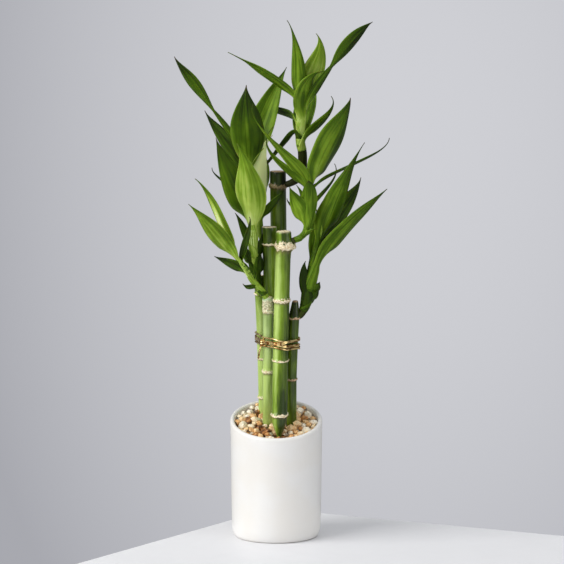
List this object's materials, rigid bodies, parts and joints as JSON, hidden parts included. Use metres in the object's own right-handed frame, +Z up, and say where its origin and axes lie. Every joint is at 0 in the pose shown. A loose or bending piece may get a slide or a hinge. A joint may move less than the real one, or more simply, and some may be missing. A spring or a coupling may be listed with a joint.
{
  "type": "potted lucky bamboo",
  "caption": "Bundle of cut lucky bamboo canes with leafy shoots, tied with gold wire, in gravel in a white cylinder pot with a slanted mouth.",
  "frame": {"origin": "centre of the pot's flat base", "axes": "+Z up along the pot's axis, -Y to the front, where the slanted mouth is lowest, +X to the right as seen from the front"},
  "size_m": [0.1628, 0.0812, 0.3916],
  "materials": {
    "pot_glaze": "satin",
    "gravel_stone": "matte",
    "cane_green": "satin",
    "cane_dark": "satin",
    "leaf_green": "satin",
    "tie_wire": "polished"
  },
  "bodies": {
    "root": {"pot": "pot_glaze", "gravel": "gravel_stone", "cane_front": "cane_green", "shoot_front": "leaf_green", "cane_tall": "cane_dark", "shoot_tall": "leaf_green", "cane_mid": "cane_green", "shoot_mid": "leaf_green", "cane_left": "cane_green", "shoot_left": "leaf_green", "cane_cap": "cane_green", "shoot_cap": "leaf_green", "cane_right": "cane_dark", "shoot_right": "leaf_green", "tie": "tie_wire"}
  },
  "joints": []
}
